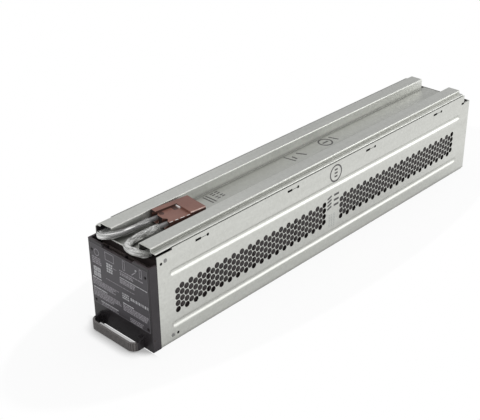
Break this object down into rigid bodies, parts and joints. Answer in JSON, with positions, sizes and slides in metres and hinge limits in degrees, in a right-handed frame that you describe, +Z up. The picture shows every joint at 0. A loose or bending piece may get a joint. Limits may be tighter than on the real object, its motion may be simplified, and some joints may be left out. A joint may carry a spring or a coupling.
{
  "type": "ups battery cartridge",
  "caption": "Long sheet steel battery cartridge with vented side, railed top cover, plastic front with pull handle, and a two-pole connector on short leads.",
  "frame": {"origin": "centre of the footprint, on the face the cartridge stands on", "axes": "+Y along the cartridge to its rear end, front and handle at -Y; +X to the vented side; +Z up"},
  "size_m": [0.0966, 0.5984, 0.1199],
  "materials": {
    "galvanised": "galvanised sheet, dull, with brighter pressed beads",
    "front_plastic": "moulded, fine texture, charcoal",
    "label_film": "printed film, charcoal, satin",
    "block_plastic": "moulded, satin, near black",
    "tab_metal": "tinned tab",
    "strap_metal": "plain copper strip",
    "foam": "closed-cell foam",
    "liner_film": "thin insulating sheet",
    "housing_plastic": "moulded, matte, terracotta brown",
    "contact_metal": "silver-plated",
    "wire_jacket": "smooth, pale grey",
    "sleeve_film": "clear sleeve, glossy",
    "screw_metal": "zinc plated"
  },
  "bodies": {
    "root": {"tray": "galvanised", "top_cover": "galvanised", "front_bezel": "front_plastic", "front_label": "label_film", "pull_handle": "front_plastic", "handle_screws": "screw_metal", "side_rivets": "screw_metal", "base_liner": "liner_film", "front_foam": "foam", "rear_foam": "foam", "battery_1": "block_plastic", "terminals_1": "tab_metal", "battery_2": "block_plastic", "terminals_2": "tab_metal", "battery_3": "block_plastic", "terminals_3": "tab_metal", "battery_4": "block_plastic", "terminals_4": "tab_metal", "battery_5": "block_plastic", "terminals_5": "tab_metal", "battery_6": "block_plastic", "terminals_6": "tab_metal", "battery_7": "block_plastic", "terminals_7": "tab_metal", "battery_8": "block_plastic", "terminals_8": "tab_metal", "link_strap_1": "strap_metal", "link_strap_2": "strap_metal", "link_strap_3": "strap_metal", "link_strap_4": "strap_metal", "link_strap_5": "strap_metal", "link_strap_6": "strap_metal", "link_strap_7": "strap_metal", "connector_housing": "housing_plastic", "contact_positive": "contact_metal", "lead_positive": "wire_jacket", "sleeve_positive": "sleeve_film", "inner_lead_positive": "wire_jacket", "lug_positive": "tab_metal", "contact_negative": "contact_metal", "lead_negative": "wire_jacket", "sleeve_negative": "sleeve_film", "inner_lead_negative": "wire_jacket", "lug_negative": "tab_metal"}
  },
  "joints": []
}
